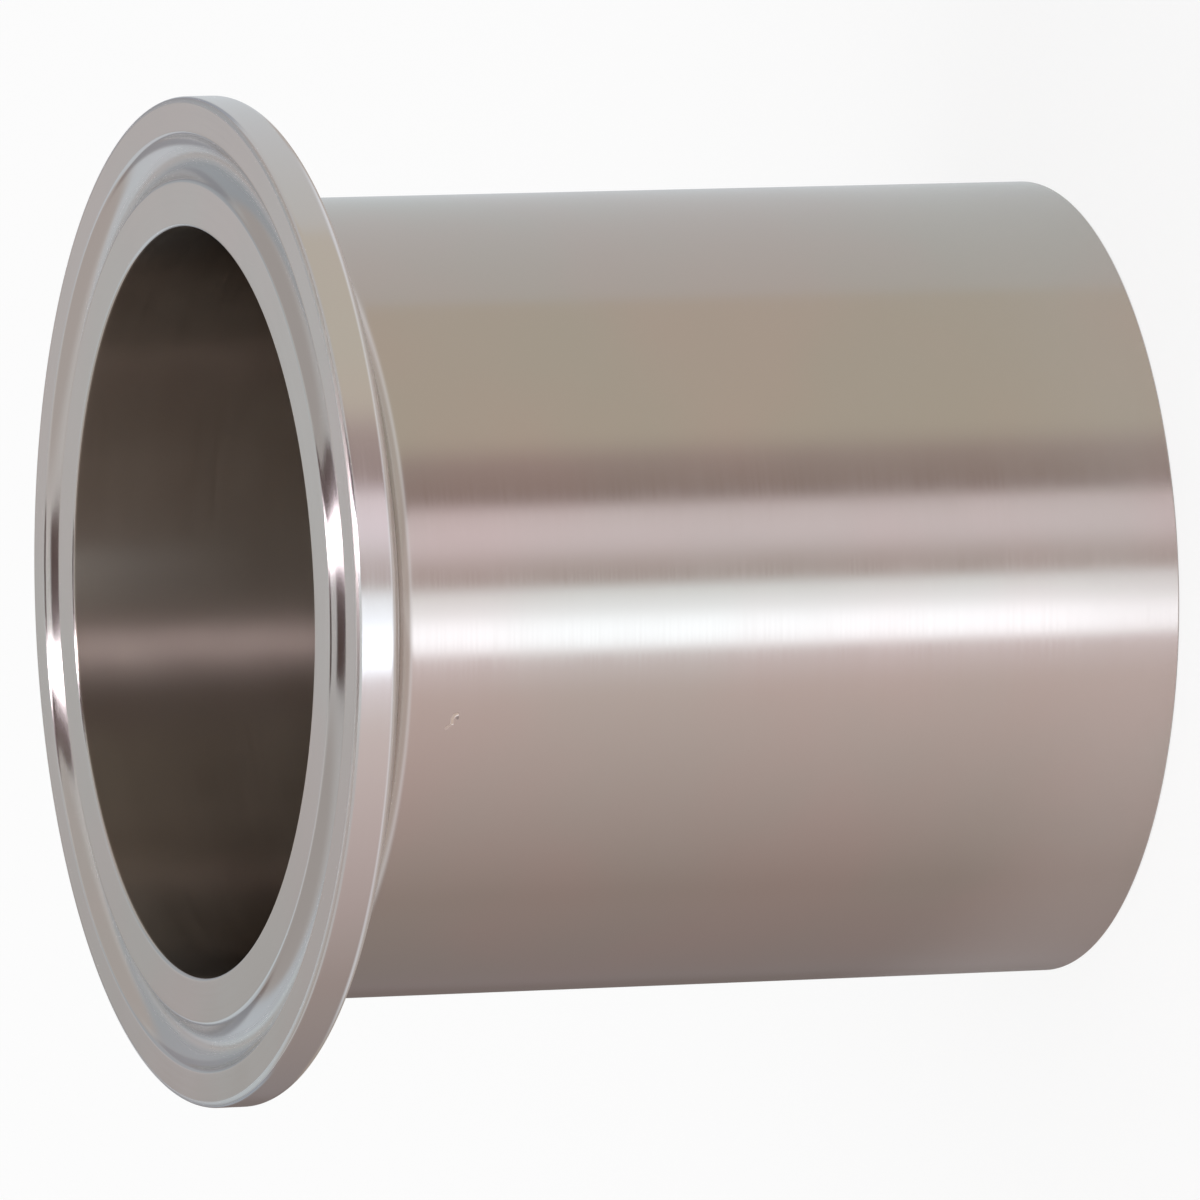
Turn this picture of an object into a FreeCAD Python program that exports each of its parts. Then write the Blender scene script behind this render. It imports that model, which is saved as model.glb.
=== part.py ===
import FreeCAD, Part
import math
import os
import Sketcher

# A sanitary weld ferrule for a 2 inch line, long pattern, turned from one piece of stainless steel.
# A thin tube carries a clamp flange at its upper end. The ferrule stands on its weld end:
# the origin is the centre of the weld end, +Z is the bore axis, and the sealing face is the top.
# Lengths are in millimetres and angles in degrees.

NODE = "weld_ferrule"
SHEET = "Dimensions"
FULL_TURN = 360.0
MATCH_TOLERANCE = 1e-4

# How a sketch constraint names a point: an edge's start, end or centre, and the sketch's own origin.
START = 1
END = 2
CENTRE = 3
ORIGIN = (-1, START)

# Each driving dimension: its name, its value and what it measures.
DIMENSIONS = [
    ("tube_outside_dia", 50.8, "outside diameter of the tube"),
    ("wall_thickness", 1.65, "wall of the tube"),
    ("overall_length", 57.15, "weld end to sealing face"),
    ("flange_projection", 6.6, "how far the clamp flange stands out from the tube, all round"),
    ("rim_thickness", 2.65, "height of the flange's rim, to the sharp corners"),
    ("flank_angle", 20.0, "slope of the clamping flank against the sealing face"),
    ("neck_fillet_radius", 1.5, "fillet between the clamping flank and the tube"),
    ("rim_back_radius", 0.7, "rounding between the rim and the clamping flank"),
    ("rim_front_break", 0.35, "edge break between the rim and the sealing face"),
    ("groove_offset", 2.8, "tube outside to the gasket groove's centre line, outwards"),
    ("groove_width", 2.9, "gasket groove across its mouth"),
    ("groove_depth", 0.95, "gasket groove below the sealing face"),
    ("groove_lip_break", 0.22, "edge break at the gasket groove's two lips"),
    ("bore_mouth_break", 0.2, "edge break at the bore's mouth in the sealing face"),
    ("weld_end_break", 0.12, "edge break inside and outside at the weld end"),
]


def make_sheet(doc):
    # The sheet holds a name, a number and a description on each row.
    sheet = doc.addObject("Spreadsheet::Sheet", SHEET)
    for row, (alias, value, meaning) in enumerate(DIMENSIONS, start=1):
        sheet.set(f"A{row}", alias)
        sheet.set(f"B{row}", str(value))
        sheet.setAlias(f"B{row}", alias)
        sheet.set(f"C{row}", meaning)
    doc.recompute()
    return sheet


def origin_plane(body, role):
    for feature in body.Origin.OriginFeatures:
        if feature.Role == role:
            return feature
    raise RuntimeError(f"the body has no {role}")


def new_sketch(body, name, role):
    sketch = body.newObject("Sketcher::SketchObject", name)
    sketch.AttachmentSupport = [(origin_plane(body, role), "")]
    sketch.MapMode = "FlatFace"
    return sketch


def bind(sketch, constraint, name, expression):
    # A named constraint takes its size from the sheet.
    index = sketch.addConstraint(constraint)
    sketch.renameConstraint(index, name)
    sketch.setExpression(f"Constraints.{name}", expression)


class Sizes:
    # Radii and heights worked out from the sheet, used to start the sketches and to find edges.
    def __init__(self, sheet):
        for alias, _, _ in DIMENSIONS:
            setattr(self, alias, float(sheet.get(alias)))
        self.tube_radius = self.tube_outside_dia / 2
        self.bore_radius = self.tube_radius - self.wall_thickness
        self.flange_radius = self.tube_radius + self.flange_projection
        self.rim_back_height = self.overall_length - self.rim_thickness
        flank_rise = self.flange_projection * math.tan(math.radians(self.flank_angle))
        self.flank_root_height = self.rim_back_height - flank_rise
        half_turn = math.tan(math.radians(90.0 - self.flank_angle) / 2)
        self.neck_tangent = self.neck_fillet_radius * half_turn
        self.rim_tangent = self.rim_back_radius * half_turn
        self.groove_radius = self.tube_radius + self.groove_offset
        depth = self.groove_depth
        self.groove_floor_radius = (self.groove_width ** 2 / 4 + depth ** 2) / (2 * depth)


def meet(sketch, first, second):
    # Two edges share a point. Each is an edge with the point on it, such as (rim, END).
    sketch.addConstraint(Sketcher.Constraint("Coincident", *first, *second))


def blend(sketch, first, second):
    # Two edges share a point and are tangent there.
    sketch.addConstraint(Sketcher.Constraint("Tangent", *first, *second))


def measure(kind, first, second, size):
    return Sketcher.Constraint(kind, *first, *second, size)


def line(sketch, start, end):
    first = FreeCAD.Vector(start[0], start[1], 0)
    second = FreeCAD.Vector(end[0], end[1], 0)
    return sketch.addGeometry(Part.LineSegment(first, second), False)


def arc(sketch, centre, radius, start_angle, end_angle):
    # Angles are in degrees, anticlockwise from the sketch's horizontal.
    circle = Part.Circle(FreeCAD.Vector(centre[0], centre[1], 0), FreeCAD.Vector(0, 0, 1), radius)
    curve = Part.ArcOfCircle(circle, math.radians(start_angle), math.radians(end_angle))
    return sketch.addGeometry(curve, False)


def add_blank(body, sizes):
    # The outside form as a solid of revolution: tube, neck, tapered flank, rim and sealing face.
    sketch = new_sketch(body, "blank_outline", "XZ_Plane")
    slope = sizes.flank_angle
    along_flank = (math.cos(math.radians(slope)), math.sin(math.radians(slope)))
    neck_end = (sizes.tube_radius, sizes.flank_root_height - sizes.neck_tangent)
    neck_centre = (neck_end[0] + sizes.neck_fillet_radius, neck_end[1])
    flank_start = (sizes.tube_radius + sizes.neck_tangent * along_flank[0],
                   sizes.flank_root_height + sizes.neck_tangent * along_flank[1])
    flank_end = (sizes.flange_radius - sizes.rim_tangent * along_flank[0],
                 sizes.rim_back_height - sizes.rim_tangent * along_flank[1])
    rim_start = (sizes.flange_radius, sizes.rim_back_height + sizes.rim_tangent)
    rim_centre = (rim_start[0] - sizes.rim_back_radius, rim_start[1])
    rim_end = (sizes.flange_radius, sizes.overall_length)
    weld_end = line(sketch, (0.0, 0.0), (sizes.tube_radius, 0.0))
    tube = line(sketch, (sizes.tube_radius, 0.0), neck_end)
    neck = arc(sketch, neck_centre, sizes.neck_fillet_radius, 90.0 + slope, 180.0)
    flank = line(sketch, flank_start, flank_end)
    rim_back = arc(sketch, rim_centre, sizes.rim_back_radius, slope - 90.0, 0.0)
    rim = line(sketch, rim_start, rim_end)
    face = line(sketch, rim_end, (0.0, sizes.overall_length))
    axis = line(sketch, (0.0, sizes.overall_length), (0.0, 0.0))
    meet(sketch, (axis, END), (weld_end, START))
    meet(sketch, (weld_end, START), ORIGIN)
    meet(sketch, (weld_end, END), (tube, START))
    blend(sketch, (tube, END), (neck, END))
    blend(sketch, (neck, START), (flank, START))
    blend(sketch, (flank, END), (rim_back, START))
    blend(sketch, (rim_back, END), (rim, START))
    meet(sketch, (rim, END), (face, START))
    meet(sketch, (face, END), (axis, START))
    for flat in (weld_end, face):
        sketch.addConstraint(Sketcher.Constraint("Horizontal", flat))
    for upright in (tube, rim, axis):
        sketch.addConstraint(Sketcher.Constraint("Vertical", upright))
    bind(sketch, measure("DistanceX", ORIGIN, (tube, START), sizes.tube_radius),
         "tube_radius", f"{SHEET}.tube_outside_dia / 2")
    bind(sketch, measure("DistanceX", (tube, START), (rim, START), sizes.flange_projection),
         "flange_projection", f"{SHEET}.flange_projection")
    bind(sketch, measure("DistanceY", ORIGIN, (face, END), sizes.overall_length),
         "overall_length", f"{SHEET}.overall_length")
    bind(sketch, Sketcher.Constraint("Radius", neck, sizes.neck_fillet_radius),
         "neck_fillet_radius", f"{SHEET}.neck_fillet_radius")
    bind(sketch, Sketcher.Constraint("Radius", rim_back, sizes.rim_back_radius),
         "rim_back_radius", f"{SHEET}.rim_back_radius")
    bind(sketch, Sketcher.Constraint("Angle", flank, math.radians(slope)),
         "flank_angle", f"{SHEET}.flank_angle * 1 deg")
    bind(sketch, measure("DistanceY", (rim, START), (rim, END), rim_end[1] - rim_start[1]),
         "rim_straight",
         f"{SHEET}.rim_thickness - {SHEET}.rim_back_radius * tan((90 - {SHEET}.flank_angle) * 0.5 deg)")
    blank = body.newObject("PartDesign::Revolution", "blank")
    blank.Profile = sketch
    blank.ReferenceAxis = (sketch, ["V_Axis"])
    blank.Angle = FULL_TURN
    return blank


def add_bore(body, sizes):
    # The bore runs through from the weld end, so that the tube keeps one wall all along.
    sketch = new_sketch(body, "bore_circle", "XY_Plane")
    circle = Part.Circle(FreeCAD.Vector(0, 0, 0), FreeCAD.Vector(0, 0, 1), sizes.bore_radius)
    edge = sketch.addGeometry(circle, False)
    meet(sketch, (edge, CENTRE), ORIGIN)
    bind(sketch, Sketcher.Constraint("Radius", edge, sizes.bore_radius),
         "bore_radius", f"{SHEET}.tube_outside_dia / 2 - {SHEET}.wall_thickness")
    bore = body.newObject("PartDesign::Pocket", "bore")
    bore.Profile = sketch
    bore.Type = "ThroughAll"
    bore.Reversed = True
    return bore


def add_gasket_groove(body, sizes):
    # A round-bottomed groove in the sealing face, with a small edge break at each lip.
    sketch = new_sketch(body, "groove_section", "XZ_Plane")
    top = sizes.overall_length
    lip = sizes.groove_lip_break
    floor_radius = sizes.groove_floor_radius
    centre = (sizes.groove_radius, top - sizes.groove_depth + floor_radius)
    floor_end_height = top - lip
    drop = centre[1] - floor_end_height
    reach = math.sqrt(floor_radius ** 2 - drop ** 2)
    lean = math.degrees(math.atan2(drop, reach))
    inner_edge = (centre[0] - reach - lip, top)
    outer_edge = (centre[0] + reach + lip, top)
    mouth = line(sketch, inner_edge, outer_edge)
    outer_break = line(sketch, outer_edge, (centre[0] + reach, floor_end_height))
    floor = arc(sketch, centre, floor_radius, 180.0 + lean, 360.0 - lean)
    inner_break = line(sketch, (centre[0] - reach, floor_end_height), inner_edge)
    meet(sketch, (mouth, END), (outer_break, START))
    meet(sketch, (outer_break, END), (floor, END))
    meet(sketch, (floor, START), (inner_break, START))
    meet(sketch, (inner_break, END), (mouth, START))
    sketch.addConstraint(Sketcher.Constraint("Horizontal", mouth))
    bind(sketch, measure("DistanceY", ORIGIN, (mouth, START), top),
         "mouth_height", f"{SHEET}.overall_length")
    for name, low, high in (("inner_lip", (inner_break, START), (inner_break, END)),
                            ("outer_lip", (outer_break, END), (outer_break, START))):
        bind(sketch, measure("DistanceY", low, high, lip), f"{name}_depth", f"{SHEET}.groove_lip_break")
    bind(sketch, measure("DistanceX", (inner_break, END), (inner_break, START), lip),
         "inner_lip_width", f"{SHEET}.groove_lip_break")
    bind(sketch, measure("DistanceX", (outer_break, END), (outer_break, START), lip),
         "outer_lip_width", f"{SHEET}.groove_lip_break")
    bind(sketch, measure("DistanceX", ORIGIN, (floor, CENTRE), centre[0]),
         "centre_line", f"{SHEET}.tube_outside_dia / 2 + {SHEET}.groove_offset")
    bind(sketch, Sketcher.Constraint("Radius", floor, floor_radius),
         "floor_radius",
         f"({SHEET}.groove_width ^ 2 / 4 + {SHEET}.groove_depth ^ 2) / (2 * {SHEET}.groove_depth)")
    bind(sketch, measure("DistanceY", ORIGIN, (floor, CENTRE), centre[1]),
         "floor_centre_height",
         f"{SHEET}.overall_length - {SHEET}.groove_depth + Constraints.floor_radius / 1 mm")
    groove = body.newObject("PartDesign::Groove", "gasket_groove")
    groove.Profile = sketch
    groove.ReferenceAxis = (sketch, ["V_Axis"])
    groove.Angle = FULL_TURN
    return groove


def round_edges(shape, circles):
    # Names of the full-circle edges that have one of the given (radius, height) pairs.
    names = []
    for radius, height in circles:
        found = None
        for index, edge in enumerate(shape.Edges, start=1):
            curve = edge.Curve
            if not isinstance(curve, Part.Circle) or not edge.isClosed():
                continue
            same_radius = abs(curve.Radius - radius) < MATCH_TOLERANCE
            same_height = abs(curve.Center.z - height) < MATCH_TOLERANCE
            if same_radius and same_height:
                found = f"Edge{index}"
        if found is None:
            raise RuntimeError(f"no round edge of radius {radius} at height {height}")
        names.append(found)
    return names


def break_edges(doc, body, name, alias, circles):
    # A 45 degree edge break on round edges of the newest feature, its size bound to the sheet.
    base = body.Tip
    chamfer = body.newObject("PartDesign::Chamfer", name)
    chamfer.Base = (base, round_edges(base.Shape, circles))
    chamfer.setExpression("Size", f"{SHEET}.{alias}")
    doc.recompute()


def add_edge_breaks(doc, body, sizes):
    top = sizes.overall_length
    break_edges(doc, body, "rim_front_edge", "rim_front_break", [(sizes.flange_radius, top)])
    break_edges(doc, body, "bore_mouth_edge", "bore_mouth_break", [(sizes.bore_radius, top)])
    break_edges(doc, body, "weld_end_edges", "weld_end_break",
                [(sizes.tube_radius, 0.0), (sizes.bore_radius, 0.0)])


def require_cut(before, after):
    # A cut that points away from the metal takes nothing off, and that is a fault.
    if after.Shape.Volume >= before.Shape.Volume:
        raise RuntimeError(f"{after.Name} removed no metal")


def make_ferrule(doc, sheet):
    sizes = Sizes(sheet)
    body = doc.addObject("PartDesign::Body", NODE)
    body.Label = NODE
    body.Placement = FreeCAD.Placement()
    blank = add_blank(body, sizes)
    bore = add_bore(body, sizes)
    groove = add_gasket_groove(body, sizes)
    doc.recompute()
    require_cut(blank, bore)
    require_cut(bore, groove)
    add_edge_breaks(doc, body, sizes)
    return body


def check_document(doc):
    for item in doc.Objects:
        if "Invalid" in item.State or "Error" in item.State:
            raise RuntimeError(f"{item.Name} failed: {item.State}")


def check_solid(body):
    shape = body.Shape
    if shape.isNull() or not shape.isValid():
        raise RuntimeError(f"{body.Label} has no valid shape")
    if len(shape.Solids) != 1:
        raise RuntimeError(f"{body.Label} is {len(shape.Solids)} solids, not 1")


def main():
    doc = FreeCAD.newDocument("sanitary_weld_ferrule")
    sheet = make_sheet(doc)
    ferrule = make_ferrule(doc, sheet)
    doc.recompute()
    check_document(doc)
    check_solid(ferrule)
    os.makedirs("parts", exist_ok=True)
    ferrule.Shape.exportStep(f"parts/{ferrule.Label}.step")
    box = ferrule.Shape.optimalBoundingBox(False)
    print(f"{ferrule.Label}: volume {ferrule.Shape.Volume:.1f} mm3,"
          f" size {box.XLength:.2f} x {box.YLength:.2f} x {box.ZLength:.2f} mm,"
          f" {len(ferrule.Shape.Faces)} faces")


main()
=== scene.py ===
import math

import bpy
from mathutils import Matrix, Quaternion, Vector


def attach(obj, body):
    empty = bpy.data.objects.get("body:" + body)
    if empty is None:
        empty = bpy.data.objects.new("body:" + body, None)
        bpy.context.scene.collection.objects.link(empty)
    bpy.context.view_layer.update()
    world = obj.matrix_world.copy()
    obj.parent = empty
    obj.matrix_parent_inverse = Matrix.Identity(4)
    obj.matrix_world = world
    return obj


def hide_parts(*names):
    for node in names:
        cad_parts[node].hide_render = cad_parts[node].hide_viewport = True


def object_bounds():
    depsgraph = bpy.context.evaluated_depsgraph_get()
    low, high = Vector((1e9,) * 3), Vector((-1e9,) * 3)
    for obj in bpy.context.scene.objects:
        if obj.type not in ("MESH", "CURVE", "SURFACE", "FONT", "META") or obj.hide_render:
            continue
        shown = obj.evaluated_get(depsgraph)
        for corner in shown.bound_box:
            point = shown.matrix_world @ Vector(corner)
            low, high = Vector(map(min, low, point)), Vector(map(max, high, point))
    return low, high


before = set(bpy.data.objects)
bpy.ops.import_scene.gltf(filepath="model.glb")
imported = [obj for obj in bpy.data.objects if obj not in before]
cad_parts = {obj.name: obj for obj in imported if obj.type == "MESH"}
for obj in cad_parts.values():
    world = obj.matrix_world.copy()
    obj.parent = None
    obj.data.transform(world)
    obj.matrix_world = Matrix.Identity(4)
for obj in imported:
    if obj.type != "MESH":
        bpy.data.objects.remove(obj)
CAD_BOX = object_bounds()

MM = 0.001

# Sizes of the ferrule in millimetres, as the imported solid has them.
LENGTH = 57.15
TUBE_RADIUS = 25.4
BORE_RADIUS = 23.75
RIM_RADIUS = 32.0
RIM_THICKNESS = 2.65
FLANK_ANGLE = 20.0
GROOVE_LINE_RADIUS = 28.2
GROOVE_WIDTH = 2.9
GROOVE_DEPTH = 0.95
NECK_RADIUS = 1.5
RIM_BACK_RADIUS = 0.7

# Small edge roundings in millimetres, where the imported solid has 45 degree breaks.
RIM_FRONT_RADIUS = 0.42
EDGE_RADIUS = 0.12
MOUTH_RADIUS = 0.22
LIP_RADIUS = 0.3

# How finely the profile and the turn are divided.
TURN_STEPS = 400
STEP_ANGLE = 5.0
EDGE_STEPS = 6
SUPPORT_GAP = 0.12
LONGEST_STRAIGHT = 5.0

# The camera of the photograph. It looks down at the ferrule and lies on its side, so the flange is on
# the left.
AIM = Vector((-0.00067, 0.0, 0.029606))
CAMERA_DISTANCE = 1.073952
CAMERA_ELEVATION = 20.0396
CAMERA_ROLL = -91.82667
CAMERA_LENS = 504.999
SENSOR_WIDTH = 36.0

# The studio that the steel mirrors, all round it at the height of the lens. Each panel starts at an
# azimuth in degrees, counted from the camera towards -X, and runs to the next one. Its colour changes
# from the first to the second on the way, and its start is soft over a few degrees.
PANELS = (
    (-180.0, 0.0, (0.63, 0.67, 0.70), (0.56, 0.53, 0.50)),
    (-92.0, 2.0, (0.55, 0.49, 0.42), (0.55, 0.48, 0.40)),
    (-41.0, 5.0, (0.44, 0.35, 0.32), (0.31, 0.23, 0.21)),
    (-24.5, 3.0, (0.79, 0.68, 0.69), (0.87, 0.76, 0.79)),
    (-12.0, 5.0, (0.70, 0.61, 0.61), (0.46, 0.37, 0.34)),
    (-1.3, 1.8, (0.93, 0.94, 0.95), (1.27, 1.30, 1.36)),
    (8.5, 3.0, (1.60, 1.66, 1.76), (1.62, 1.68, 1.78)),
    (17.0, 2.2, (0.82, 0.72, 0.73), (0.69, 0.59, 0.57)),
    (28.0, 4.0, (0.67, 0.56, 0.53), (0.36, 0.288, 0.262)),
    (100.0, 10.0, (0.37, 0.30, 0.275), (0.26, 0.22, 0.215)),
    (157.0, 6.0, (0.22, 0.18, 0.17), (0.18, 0.15, 0.14)),
    (176.0, 4.0, (0.36, 0.36, 0.36), (0.50, 0.50, 0.50)),
)

# Behind the ferrule is what the sealing face mirrors: a narrow upright strip, shaded towards -X, with a
# lighter wall on each side of it and a dark horizon under the walls. Heights are elevations in degrees.
# Other places are parts of the unit direction: X for the strip and the walls' sides, Y for what counts as
# behind.
STRIP_LOW = (0.53, 0.487, 0.465)
STRIP_HIGH = (0.642, 0.658, 0.685)
STRIP_HEIGHTS = (16.0, 20.5)
STRIP_LOW_SHADED = (0.385, 0.36, 0.345)
STRIP_HIGH_SHADED = (0.455, 0.43, 0.42)
STRIP_TURN = (-0.042, 0.004)
STRIP_EDGE = (0.05, 0.085)
STRIP_FOOT = (-12.0, -6.0)
LIGHT_WALL_LEFT = (0.69, 0.75, 0.81)
LIGHT_WALL_RIGHT = (0.46, 0.50, 0.54)
LIGHT_WALL_TURN = (-0.02, 0.02)
LIGHT_WALL_START = (10.5, 14.0)
HORIZON = (0.37, 0.385, 0.42)
HORIZON_HEIGHTS = (-10.0, 12.0)
HORIZON_SOFTNESS = 2.0
BEHIND_EDGE = (0.60, 0.75)

# The ceiling darkens towards +X and -X. What lies below is what the rim's back, the flank and the neck
# mirror.
CEILING = (0.66, 0.655, 0.655)
CEILING_SIDES = (0.54, 0.51, 0.495)
CEILING_SIDES_START = (0.25, 0.60)
CEILING_START = (13.0, 17.0)
UNDERSIDE = (0.90, 0.90, 0.93)
UNDERSIDE_SHARE = 0.6
UNDERSIDE_START = (-42.0, -26.0)
GROUND = (0.44, 0.36, 0.30)
GROUND_SHARE = 0.66
GROUND_START = (-56.0, -40.0)
GROUND_BEHIND = (0.50, 0.75)
GROUND_BEHIND_START = (-28.0, -23.0)

# What the flange's groove mirrors: a dark board over the camera, tilted to face the ferrule, with a lit
# window in it. Its extents are (across, towards -X) and (up the board), as shares of its distance. On one
# side of the window its lower edge is raised.
BOARD_TILT = math.radians(45.0)
BOARD_COLOUR = (0.10, 0.065, 0.06)
BOARD_ACROSS = (-0.55, 0.30)
BOARD_UP = (-0.36, 2.0)
BOARD_RAISED = (0.25, 0.35)
BOARD_FACING = 0.05
WINDOW_COLOUR = (7.6, 6.8, 7.4)
WINDOW_ACROSS = (-0.270, -0.128)
BOARD_SOFTNESS = 0.01

# Plain light on everything that isn't metal. The steel mirrors the floor under its bore, and round its
# foot less and less, between two distances from the axis in metres.
PLAIN_LIGHT = (0.78, 0.78, 0.78)
SKY_SEEN = (1.0, 1.0, 1.0)
FLOOR_GLOW = (1.0, 1.0, 1.0)
FLOOR_GLOW_SHARE = 0.82
FLOOR_MIRRORED = (0.028, 0.055)
FLOOR_MIRRORED_SHARE = 0.17
FLOOR_COLOURS = ((0.915, 0.915, 0.915), (0.93, 0.93, 0.93))
FLOOR_PATCH_SCALE = 9.0
FLOOR_PATCH_DETAIL = 3.0
FLOOR_PATCH_SPAN = (0.3, 0.7)
FLOOR_ROUGHNESS = 0.9
FLOOR_REACH = 4.0
FLOOR_DROP = 0.00001
KEY_POWER = 3.6
KEY_SIZE = 0.7
KEY_PLACE = Vector((-0.75, 0.35, 1.1))

# Polished stainless steel: tints, then the mirrored colour at a grazing angle. The bore's tints and its
# grazing colour are steel darkened with painted shade, and the rim's tints are steel lightened with a
# painted reflection. Each finish is (roughness, how much it is drawn out along the grain). The rim starts
# at a radius in millimetres. The mesh has three steels: the outside's comes first, then the bore's and
# the rim's.
STEEL_TINTS = ((0.675, 0.625, 0.60), (0.645, 0.635, 0.605))
# Steel lightened with a painted reflection on the rim.
RIM_PAINTED_REFLECTION_TINTS = ((0.80, 0.79, 0.80), (0.78, 0.80, 0.80))
# Steel darkened with painted shade in the bore.
BORE_PAINTED_SHADE_TINTS = ((0.43, 0.37, 0.32), (0.415, 0.365, 0.315))
STEEL_EDGE = (1.0, 1.0, 1.0)
# The bore's grazing colour, darkened with painted shade.
BORE_PAINTED_SHADE_EDGE = (0.40, 0.37, 0.34)
OUTSIDE_FINISH = (0.15, 0.45)
RIM_FINISH = (0.15, 0.45)
BORE_FINISH = (0.30, 1.0)
GRAIN_TURN = 0.25
RIM_START = 31.9
BORE_STEEL = 1
RIM_STEEL = 2

# The rim's edges are a little duller from these radii outwards, and the groove's floor below these
# depths. The groove's inner flank has painted shade: a darker tint that stands in for its darker
# reflection. All in millimetres.
RIM_EDGE_START = (31.5, 31.7)
RIM_EDGE_ROUGHNESS = 0.15
GROOVE_FLOOR_REACH = 1.4
GROOVE_FLOOR_SOFTNESS = 0.05
GROOVE_FLOOR_DEPTHS = (0.88, 0.72)
GROOVE_FLOOR_ROUGHNESS = 0.12
# Painted shade on the groove's inner flank.
FLANK_PAINTED_SHADE = (0.58, 0.56, 0.545)
FLANK_SHADE_BAND = (26.70, 27.85)
FLANK_SHADE_SOFTNESS = 0.07

# Marks all over the steel: fine turning lines round the axis, uneven tint, smudges and slight waves.
# Scales are per metre. Each span of the noise gives a span of added roughness, and each bump is (height
# in metres, strength).
LINE_SCALE_ROUND = 45.0
LINE_SCALE_ALONG = 5200.0
LINE_DETAIL = (3.0, 0.6)
LINE_SPAN = (0.3, 0.7)
LINE_ROUGHNESS = (-0.012, 0.022)
LINE_BUMP = (0.0000012, 0.6)
PATCH_SCALE = 55.0
PATCH_SPAN = (0.35, 0.65)
SMUDGE_SCALE = 190.0
SMUDGE_DETAIL = 3.0
SMUDGE_SPAN = (0.35, 0.7)
SMUDGE_ROUGHNESS = (-0.008, 0.02)
WAVE_SCALE = 85.0
WAVE_DETAIL = 1.0
WAVE_BUMP = (0.00002, 0.5)

# A small hooked nick in the tube's wall near the flange, with a dark spot beside it, in millimetres.
# Points are (along the turn, up the axis) from its middle. It is only in the outer part of the wall.
NICK_AZIMUTH = math.radians(17.6)
NICK_HEIGHT = 48.46
NICK_POINTS = ((-0.23, -0.33), (-0.15, -0.14), (0.06, -0.04), (0.36, -0.04))
NICK_TRAIL = ((0.36, -0.04), (0.50, 0.10), (0.65, 0.34))
NICK_SPOT = ((0.0, -0.37), (0.03, -0.37))
NICK_WIDTH = (0.05, 0.14)
NICK_TRAIL_SHARE = 0.4
NICK_COLOUR = (0.86, 0.74, 0.62)
NICK_ROUGHNESS = 0.3
NICK_BUMP = (0.00002, 0.8)
SPOT_WIDTH = (0.05, 0.14)
SPOT_COLOUR = (0.25, 0.24, 0.25)
MARK_COLOUR_SHARE = 0.6
OUTER_WALL = (0.5, 1.0)


class Graph:
    """Adds nodes to one material or world, and links them."""

    def __init__(self, tree):
        self.tree = tree
        self.tree.nodes.clear()

    def feed(self, socket, value):
        if isinstance(value, bpy.types.NodeSocket):
            self.tree.links.new(value, socket)
        else:
            socket.default_value = value

    def node(self, kind, inputs=None, **settings):
        node = self.tree.nodes.new(kind)
        for name, value in settings.items():
            setattr(node, name, value)
        for name, value in (inputs or {}).items():
            self.feed(node.inputs[name], value)
        return node

    def math(self, operation, *values):
        node = self.node("ShaderNodeMath", operation=operation)
        for socket, value in zip(node.inputs, values):
            self.feed(socket, value)
        return node.outputs[0]

    def ramp(self, value, low, high, start=0.0, end=1.0, smooth=True):
        kind = "SMOOTHSTEP" if smooth else "LINEAR"
        inputs = {"Value": value, "From Min": low, "From Max": high, "To Min": start, "To Max": end}
        return self.node("ShaderNodeMapRange", inputs, interpolation_type=kind, clamp=True).outputs["Result"]

    def mix(self, share, first, second):
        node = self.node("ShaderNodeMix", data_type="RGBA", clamp_factor=True)
        factor, colour_a, colour_b = node.inputs[0], node.inputs[6], node.inputs[7]
        self.feed(factor, share)
        self.feed(colour_a, rgba(first))
        self.feed(colour_b, rgba(second))
        return node.outputs[2]

    def noise(self, vector, scale, detail=2.0, roughness=0.5):
        inputs = {"Vector": vector, "Scale": scale, "Detail": detail, "Roughness": roughness}
        return self.node("ShaderNodeTexNoise", inputs).outputs["Fac"]

    def bump(self, height, distance, strength, below=None):
        node = self.node("ShaderNodeBump", {"Height": height, "Distance": distance, "Strength": strength})
        if below is not None:
            self.feed(node.inputs["Normal"], below)
        return node.outputs["Normal"]


def rgba(colour):
    return (*colour, 1.0) if isinstance(colour, tuple) else colour


# Geometry: the profile in millimetres as (radius, height), turned round the axis.

def arc_points(centre, radius, start, end):
    """Points of an arc, its angles in degrees anticlockwise from the outward direction."""
    steps = max(EDGE_STEPS, math.ceil(abs(end - start) / STEP_ANGLE))
    points = []
    for step in range(steps + 1):
        angle = math.radians(start + (end - start) * step / steps)
        points.append((centre[0] + radius * math.cos(angle), centre[1] + radius * math.sin(angle)))
    return points


def groove_runs():
    """The groove's inner lip, round floor and outer lip. Each lip is rounded into the floor and the face."""
    half = GROOVE_WIDTH / 2.0
    floor_radius = (half * half + GROOVE_DEPTH * GROOVE_DEPTH) / (2.0 * GROOVE_DEPTH)
    floor_height = LENGTH - GROOVE_DEPTH + floor_radius
    lip_height = LENGTH - LIP_RADIUS
    rise = floor_height - lip_height
    reach = math.sqrt((floor_radius + LIP_RADIUS) ** 2 - rise ** 2)
    lean = math.degrees(math.atan2(rise, reach))
    floor_centre = (GROOVE_LINE_RADIUS, floor_height)
    return [
        arc_points((GROOVE_LINE_RADIUS - reach, lip_height), LIP_RADIUS, 90.0, lean),
        arc_points(floor_centre, floor_radius, 180.0 + lean, 360.0 - lean)[1:-1],
        arc_points((GROOVE_LINE_RADIUS + reach, lip_height), LIP_RADIUS, 180.0 - lean, 90.0),
    ]


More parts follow.
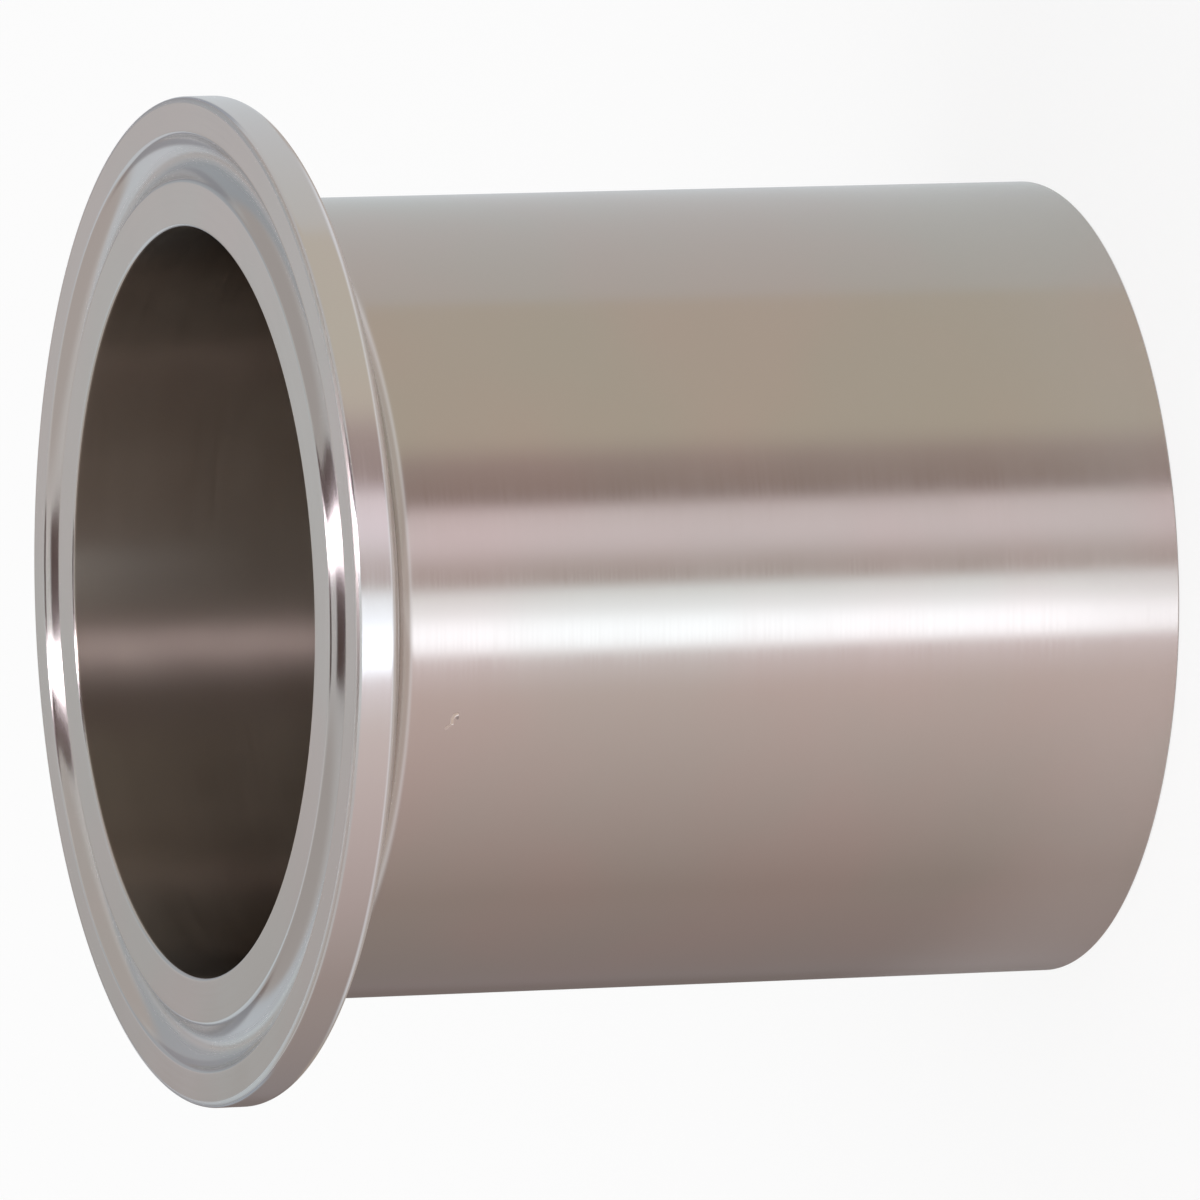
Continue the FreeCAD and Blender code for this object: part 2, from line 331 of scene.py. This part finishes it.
def straight_points(first, last):
    """Points between two ends of a straight run: one close to each end, and some on the way."""
    start, end = Vector(first), Vector(last)
    length = (end - start).length
    if length < 4.0 * SUPPORT_GAP:
        return []
    parts = math.ceil((length - 2.0 * SUPPORT_GAP) / LONGEST_STRAIGHT)
    run = length - 2.0 * SUPPORT_GAP
    places = [SUPPORT_GAP + run * part / parts for part in range(parts + 1)]
    return [tuple(start + (end - start) * (place / length)) for place in places]


def profile_points():
    """The closed profile, up the bore, out over the sealing face and down the outside."""
    rim_back = LENGTH - RIM_THICKNESS
    flank_root = rim_back - (RIM_RADIUS - TUBE_RADIUS) * math.tan(math.radians(FLANK_ANGLE))
    reach = math.tan(math.radians(90.0 - FLANK_ANGLE) / 2.0)
    mouth = (BORE_RADIUS + MOUTH_RADIUS, LENGTH - MOUTH_RADIUS)
    rim_front = (RIM_RADIUS - RIM_FRONT_RADIUS, LENGTH - RIM_FRONT_RADIUS)
    rim_rear = (RIM_RADIUS - RIM_BACK_RADIUS, rim_back + RIM_BACK_RADIUS * reach)
    neck = (TUBE_RADIUS + NECK_RADIUS, flank_root - NECK_RADIUS * reach)
    runs = [
        arc_points((BORE_RADIUS + EDGE_RADIUS, EDGE_RADIUS), EDGE_RADIUS, 270.0, 180.0),
        arc_points(mouth, MOUTH_RADIUS, 180.0, 90.0),
        *groove_runs(),
        arc_points(rim_front, RIM_FRONT_RADIUS, 90.0, 0.0),
        arc_points(rim_rear, RIM_BACK_RADIUS, 0.0, FLANK_ANGLE - 90.0),
        arc_points(neck, NECK_RADIUS, 90.0 + FLANK_ANGLE, 180.0),
        arc_points((TUBE_RADIUS - EDGE_RADIUS, EDGE_RADIUS), EDGE_RADIUS, 0.0, -90.0),
    ]
    points = []
    for index, run in enumerate(runs):
        points.extend(run)
        points.extend(straight_points(run[-1], runs[(index + 1) % len(runs)][0]))
    return points


def turned_mesh(name, profile):
    """Turns a closed profile once round the Z axis."""
    count = len(profile)
    vertices = []
    for step in range(TURN_STEPS):
        angle = 2.0 * math.pi * step / TURN_STEPS
        for radius, height in profile:
            vertices.append((radius * MM * math.cos(angle), radius * MM * math.sin(angle), height * MM))
    faces = []
    for step in range(TURN_STEPS):
        here = step * count
        beside = (step + 1) % TURN_STEPS * count
        for index in range(count):
            following = (index + 1) % count
            faces.append((here + index, here + following, beside + following, beside + index))
    mesh = bpy.data.meshes.new(name)
    mesh.from_pydata(vertices, [], faces)
    mesh.shade_smooth()
    mesh.update()
    return mesh


# Materials.

def between(graph, value, low, high, softness):
    """1 between two limits and 0 outside, with soft edges."""
    rise = graph.ramp(value, low - softness, low + softness)
    fall = graph.ramp(value, high - softness, high + softness, 1.0, 0.0)
    return graph.math("MULTIPLY", rise, fall)


def segment_distance(graph, along, up, start, end):
    """How far a point of the unrolled wall is from a straight scratch, in millimetres."""
    run, rise = end[0] - start[0], end[1] - start[1]
    from_start_along = graph.math("SUBTRACT", along, start[0])
    from_start_up = graph.math("SUBTRACT", up, start[1])
    dot = graph.math(
        "ADD", graph.math("MULTIPLY", from_start_along, run), graph.math("MULTIPLY", from_start_up, rise)
    )
    share = graph.ramp(dot, 0.0, run * run + rise * rise, smooth=False)
    off_along = graph.math("SUBTRACT", from_start_along, graph.math("MULTIPLY", share, run))
    off_up = graph.math("SUBTRACT", from_start_up, graph.math("MULTIPLY", share, rise))
    squares = graph.math("ADD", graph.math("POWER", off_along, 2.0), graph.math("POWER", off_up, 2.0))
    return graph.math("SQRT", squares)


def path_distance(graph, along, up, points):
    """How far a point of the unrolled wall is from a bent scratch, in millimetres."""
    nearest = None
    for start, end in zip(points, points[1:]):
        far = segment_distance(graph, along, up, start, end)
        nearest = far if nearest is None else graph.math("MINIMUM", nearest, far)
    return nearest


def nick_masks(graph, place, radius):
    """Where the nick and its spot are, on the wall unrolled round the nick's own middle."""
    x, y, z = place
    azimuth = graph.math("ARCTAN2", graph.math("MULTIPLY", x, -1.0), graph.math("MULTIPLY", y, -1.0))
    along = graph.math("MULTIPLY", graph.math("SUBTRACT", azimuth, NICK_AZIMUTH), TUBE_RADIUS)
    up = graph.math("SUBTRACT", graph.math("DIVIDE", z, MM), NICK_HEIGHT)
    outer = graph.ramp(radius, (BORE_RADIUS + OUTER_WALL[0]) * MM, (BORE_RADIUS + OUTER_WALL[1]) * MM)
    hook = graph.ramp(path_distance(graph, along, up, NICK_POINTS), *NICK_WIDTH, 1.0, 0.0)
    trail = graph.ramp(path_distance(graph, along, up, NICK_TRAIL), *NICK_WIDTH, NICK_TRAIL_SHARE, 0.0)
    nick = graph.math("MULTIPLY", graph.math("MAXIMUM", hook, trail), outer)
    spot = graph.ramp(path_distance(graph, along, up, NICK_SPOT), *SPOT_WIDTH, 1.0, 0.0)
    return nick, graph.math("MULTIPLY", spot, outer)


def groove_masks(graph, height, radius):
    """Where the groove's floor is, and the band of the groove's inner flank that gets painted shade."""
    inner_edge = (GROOVE_LINE_RADIUS - GROOVE_FLOOR_REACH) * MM
    outer_edge = (GROOVE_LINE_RADIUS + GROOVE_FLOOR_REACH) * MM
    in_groove = between(graph, radius, inner_edge, outer_edge, GROOVE_FLOOR_SOFTNESS * MM)
    heights = [(LENGTH - depth) * MM for depth in GROOVE_FLOOR_DEPTHS]
    floor = graph.math("MULTIPLY", graph.ramp(height, *heights, 1.0, 0.0), in_groove)
    near_face = graph.math("GREATER_THAN", height, (LENGTH - 2.0 * GROOVE_DEPTH) * MM)
    # The band of the groove's inner flank that gets painted shade.
    flank = between(graph, radius, FLANK_SHADE_BAND[0] * MM, FLANK_SHADE_BAND[1] * MM, FLANK_SHADE_SOFTNESS * MM)
    return floor, graph.math("MULTIPLY", flank, near_face)


def turning_lines(graph, place, radius):
    """Noise that changes quickly along the profile and slowly round the axis."""
    x, y, z = place
    stretched = {
        "X": graph.math("MULTIPLY", x, LINE_SCALE_ROUND),
        "Y": graph.math("MULTIPLY", y, LINE_SCALE_ROUND),
        "Z": graph.math("MULTIPLY", graph.math("ADD", z, radius), LINE_SCALE_ALONG),
    }
    return graph.noise(graph.node("ShaderNodeCombineXYZ", stretched).outputs[0], 1.0, *LINE_DETAIL)


def steel_material(name, tints, edge, finish, rim_edge_roughness):
    material = bpy.data.materials.new(name)
    material.use_nodes = True
    graph = Graph(material.node_tree)
    point = graph.node("ShaderNodeTexCoord").outputs["Object"]
    place = graph.node("ShaderNodeSeparateXYZ", {"Vector": point}).outputs[:3]
    squares = [graph.math("POWER", part, 2.0) for part in place[:2]]
    radius = graph.math("SQRT", graph.math("ADD", *squares))
    lines = turning_lines(graph, place, radius)
    patches = graph.noise(point, PATCH_SCALE)
    smudges = graph.noise(point, SMUDGE_SCALE, SMUDGE_DETAIL)
    waves = graph.noise(point, WAVE_SCALE, WAVE_DETAIL)
    nick, spot = nick_masks(graph, place, radius)
    groove_floor, groove_flank_shade = groove_masks(graph, place[2], radius)
    rim_edge = graph.ramp(radius, RIM_EDGE_START[0] * MM, RIM_EDGE_START[1] * MM, 0.0, rim_edge_roughness)

    roughness = graph.math("ADD", finish[0], graph.ramp(lines, *LINE_SPAN, *LINE_ROUGHNESS))
    for added in (
        graph.ramp(smudges, *SMUDGE_SPAN, *SMUDGE_ROUGHNESS),
        graph.math("MULTIPLY", nick, NICK_ROUGHNESS),
        graph.math("MULTIPLY", groove_floor, GROOVE_FLOOR_ROUGHNESS),
        rim_edge,
    ):
        roughness = graph.math("ADD", roughness, added)

    colour = graph.mix(graph.ramp(patches, *PATCH_SPAN), *tints)
    # Painted shade on the groove's inner flank, in place of its darker reflection.
    colour = graph.mix(groove_flank_shade, colour, FLANK_PAINTED_SHADE)
    colour = graph.mix(graph.math("MULTIPLY", nick, MARK_COLOUR_SHARE), colour, NICK_COLOUR)
    colour = graph.mix(graph.math("MULTIPLY", spot, MARK_COLOUR_SHARE), colour, SPOT_COLOUR)

    normal = graph.bump(waves, *WAVE_BUMP)
    normal = graph.bump(lines, *LINE_BUMP, normal)
    normal = graph.bump(graph.math("SUBTRACT", 1.0, nick), *NICK_BUMP, normal)

    inputs = {"Base Color": colour, "Roughness": roughness, "Normal": normal}
    shader = graph.node("ShaderNodeBsdfPrincipled", inputs)
    shader.inputs["Metallic"].default_value = 1.0
    shader.inputs["Specular Tint"].default_value = rgba(edge)
    shader.inputs["Anisotropic"].default_value = finish[1]
    shader.inputs["Anisotropic Rotation"].default_value = GRAIN_TURN
    tangent = graph.node("ShaderNodeTangent", direction_type="RADIAL", axis="Z").outputs[0]
    graph.feed(shader.inputs["Tangent"], tangent)
    output = graph.node("ShaderNodeOutputMaterial")
    graph.feed(output.inputs["Surface"], shader.outputs[0])
    return material


def floor_material():
    material = bpy.data.materials.new("pale_floor")
    material.use_nodes = True
    graph = Graph(material.node_tree)
    place = graph.node("ShaderNodeTexCoord").outputs["Object"]
    patches = graph.noise(place, FLOOR_PATCH_SCALE, FLOOR_PATCH_DETAIL)
    colour = graph.mix(graph.ramp(patches, *FLOOR_PATCH_SPAN), *FLOOR_COLOURS)
    shader = graph.node("ShaderNodeBsdfPrincipled", {"Base Color": colour, "Roughness": FLOOR_ROUGHNESS})
    glow = graph.node("ShaderNodeEmission", {"Color": rgba(FLOOR_GLOW), "Strength": 1.0})
    light_path = graph.node("ShaderNodeLightPath")
    seen = graph.math("MULTIPLY", light_path.outputs["Is Camera Ray"], FLOOR_GLOW_SHARE)
    mixed = graph.node("ShaderNodeMixShader", {"Fac": seen})
    graph.feed(mixed.inputs[1], shader.outputs[0])
    graph.feed(mixed.inputs[2], glow.outputs[0])
    from_axis = graph.node("ShaderNodeVectorMath", {"Vector": place}, operation="LENGTH").outputs["Value"]
    under_bore = graph.math("LESS_THAN", from_axis, TUBE_RADIUS * MM)
    mirrored = graph.ramp(from_axis, *FLOOR_MIRRORED, FLOOR_MIRRORED_SHARE, 0.0)
    unmirrored = graph.math("SUBTRACT", 1.0, graph.math("MAXIMUM", under_bore, mirrored))
    clear_share = graph.math("MULTIPLY", light_path.outputs["Is Glossy Ray"], unmirrored)
    clear = graph.node("ShaderNodeBsdfTransparent")
    seen_through = graph.node("ShaderNodeMixShader", {"Fac": clear_share})
    graph.feed(seen_through.inputs[1], mixed.outputs[0])
    graph.feed(seen_through.inputs[2], clear.outputs[0])
    output = graph.node("ShaderNodeOutputMaterial")
    graph.feed(output.inputs["Surface"], seen_through.outputs[0])
    return material


# The room round the ferrule.

def walls_round(graph, azimuth):
    """The panels all round at the height of the lens."""
    ends = [panel[0] for panel in PANELS[1:]] + [180.0]
    walls = None
    for (start, softness, first, last), end in zip(PANELS, ends):
        colour = graph.mix(graph.ramp(azimuth, start, end, smooth=False), first, last)
        if walls is None:
            walls = colour
        else:
            walls = graph.mix(graph.ramp(azimuth, start - softness, start + softness), walls, colour)
    return walls


def overhead(graph, x, y, z):
    """The ceiling, and the tilted board with its window."""
    tilt_sine, tilt_cosine = math.sin(BOARD_TILT), math.cos(BOARD_TILT)
    high_part, near_part = graph.math("MULTIPLY", z, tilt_sine), graph.math("MULTIPLY", y, tilt_cosine)
    facing = graph.math("SUBTRACT", high_part, near_part)
    rising = graph.math("ADD", graph.math("MULTIPLY", z, tilt_cosine), graph.math("MULTIPLY", y, tilt_sine))
    distance = graph.math("MAXIMUM", facing, BOARD_FACING)
    across = graph.math("DIVIDE", graph.math("MULTIPLY", x, -1.0), distance)
    up = graph.math("DIVIDE", rising, distance)
    in_front = graph.math("GREATER_THAN", facing, BOARD_FACING)
    height = graph.math("MULTIPLY", in_front, between(graph, up, *BOARD_UP, BOARD_SOFTNESS))
    beside_window = graph.math("LESS_THAN", across, WINDOW_ACROSS[1])
    raised = graph.math("MAXIMUM", graph.ramp(up, *BOARD_RAISED), beside_window)
    board = graph.math("MULTIPLY", height, between(graph, across, *BOARD_ACROSS, BOARD_SOFTNESS))
    board = graph.math("MULTIPLY", board, raised)
    window = graph.math("MULTIPLY", height, between(graph, across, *WINDOW_ACROSS, BOARD_SOFTNESS))
    to_side = graph.ramp(graph.math("ABSOLUTE", x), *CEILING_SIDES_START)
    above = graph.mix(board, graph.mix(to_side, CEILING, CEILING_SIDES), BOARD_COLOUR)
    return graph.mix(window, above, WINDOW_COLOUR)


def strip_behind(graph, x, elevation):
    """The narrow upright strip that the sealing face mirrors."""
    unshaded = graph.ramp(x, *STRIP_TURN)
    low = graph.mix(unshaded, STRIP_LOW_SHADED, STRIP_LOW)
    high = graph.mix(unshaded, STRIP_HIGH_SHADED, STRIP_HIGH)
    return graph.mix(graph.ramp(elevation, *STRIP_HEIGHTS), low, high)


def mirrored_room(graph):
    """What the steel mirrors in each direction."""
    direction = graph.node("ShaderNodeTexCoord").outputs["Generated"]
    x, y, z = graph.node("ShaderNodeSeparateXYZ", {"Vector": direction}).outputs
    turn = graph.math("ARCTAN2", graph.math("MULTIPLY", x, -1.0), graph.math("MULTIPLY", y, -1.0))
    azimuth = graph.math("DEGREES", turn)
    elevation = graph.math("DEGREES", graph.math("ARCSINE", z))
    behind = graph.ramp(y, *BEHIND_EDGE)

    horizon = between(graph, elevation, *HORIZON_HEIGHTS, HORIZON_SOFTNESS)
    room = graph.mix(graph.math("MULTIPLY", horizon, behind), walls_round(graph, azimuth), HORIZON)
    room = graph.mix(graph.ramp(elevation, *CEILING_START), room, overhead(graph, x, y, z))
    light_wall = graph.math("MULTIPLY", graph.ramp(elevation, *LIGHT_WALL_START), behind)
    light_wall_colour = graph.mix(graph.ramp(x, *LIGHT_WALL_TURN), LIGHT_WALL_LEFT, LIGHT_WALL_RIGHT)
    room = graph.mix(light_wall, room, light_wall_colour)
    in_strip = graph.ramp(graph.math("ABSOLUTE", x), *STRIP_EDGE, 1.0, 0.0)
    above_foot = graph.math("MULTIPLY", behind, graph.ramp(elevation, *STRIP_FOOT))
    room = graph.mix(graph.math("MULTIPLY", in_strip, above_foot), room, strip_behind(graph, x, elevation))

    underside = graph.ramp(elevation, *UNDERSIDE_START, UNDERSIDE_SHARE, 0.0)
    room = graph.mix(underside, room, UNDERSIDE)
    ground = graph.ramp(elevation, *GROUND_START, 1.0, 0.0)
    low_behind = graph.math(
        "MULTIPLY", graph.ramp(y, *GROUND_BEHIND), graph.ramp(elevation, *GROUND_BEHIND_START, 1.0, 0.0)
    )
    ground = graph.math("MULTIPLY", graph.math("MAXIMUM", ground, low_behind), GROUND_SHARE)
    return graph.mix(ground, room, GROUND)


def studio_world():
    world = bpy.data.worlds.new("studio")
    world.use_nodes = True
    graph = Graph(world.node_tree)
    room = mirrored_room(graph)
    light_path = graph.node("ShaderNodeLightPath")
    plain = graph.mix(light_path.outputs["Is Camera Ray"], PLAIN_LIGHT, SKY_SEEN)
    colour = graph.mix(light_path.outputs["Is Glossy Ray"], plain, room)
    background = graph.node("ShaderNodeBackground", {"Color": colour, "Strength": 1.0})
    output = graph.node("ShaderNodeOutputWorld")
    graph.feed(output.inputs["Surface"], background.outputs[0])
    world.cycles.sampling_method = "NONE"
    bpy.context.scene.world = world


def add_floor():
    turns = ((-1, -1), (1, -1), (1, 1), (-1, 1))
    corners = [(along * FLOOR_REACH, across * FLOOR_REACH, 0.0) for along, across in turns]
    mesh = bpy.data.meshes.new("floor")
    mesh.from_pydata(corners, [], [(0, 1, 2, 3)])
    mesh.materials.append(floor_material())
    floor = bpy.data.objects.new("floor", mesh)
    bpy.context.scene.collection.objects.link(floor)
    floor.location.z = CAD_BOX[0].z - FLOOR_DROP


def add_key_lamp():
    lamp = bpy.data.lights.new("key", "AREA")
    lamp.energy = KEY_POWER
    lamp.size = KEY_SIZE
    key = bpy.data.objects.new("key", lamp)
    bpy.context.scene.collection.objects.link(key)
    key.location = KEY_PLACE
    key.rotation_mode = "QUATERNION"
    key.rotation_quaternion = (AIM - KEY_PLACE).to_track_quat("-Z", "Y")
    key.visible_glossy = False


def add_camera():
    elevation = math.radians(CAMERA_ELEVATION)
    back = Vector((0.0, -math.cos(elevation), math.sin(elevation)))
    camera = bpy.data.objects.new("camera", bpy.data.cameras.new("camera"))
    bpy.context.scene.collection.objects.link(camera)
    camera.data.lens = CAMERA_LENS
    camera.data.sensor_width = SENSOR_WIDTH
    camera.location = AIM + back * CAMERA_DISTANCE
    camera.rotation_mode = "QUATERNION"
    upright = (-back).to_track_quat("-Z", "Y")
    camera.rotation_quaternion = upright @ Quaternion((0.0, 0.0, 1.0), math.radians(CAMERA_ROLL))
    bpy.context.scene.camera = camera


def add_ferrule():
    mesh = turned_mesh("ferrule_finish", profile_points())
    for kind in (
        ("steel_outside", STEEL_TINTS, STEEL_EDGE, OUTSIDE_FINISH, RIM_EDGE_ROUGHNESS),
        # The bore's steel, darkened with painted shade.
        ("steel_bore_painted_shade", BORE_PAINTED_SHADE_TINTS, BORE_PAINTED_SHADE_EDGE, BORE_FINISH, 0.0),
        # The rim's steel, lightened with a painted reflection.
        ("steel_rim_painted_reflection", RIM_PAINTED_REFLECTION_TINTS, STEEL_EDGE, RIM_FINISH, 0.0),
    ):
        mesh.materials.append(steel_material(*kind))
    for face in mesh.polygons:
        distances = [mesh.vertices[index].co.xy.length for index in face.vertices]
        if max(distances) < (BORE_RADIUS + EDGE_RADIUS / 4.0) * MM:
            face.material_index = BORE_STEEL
        elif min(distances) > RIM_START * MM:
            face.material_index = RIM_STEEL
    ferrule = bpy.data.objects.new("ferrule_finish", mesh)
    bpy.context.scene.collection.objects.link(ferrule)
    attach(ferrule, "root")
    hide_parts("weld_ferrule")


bpy.context.scene.view_settings.view_transform = "Standard"
add_camera()
studio_world()
add_key_lamp()
add_floor()
add_ferrule()
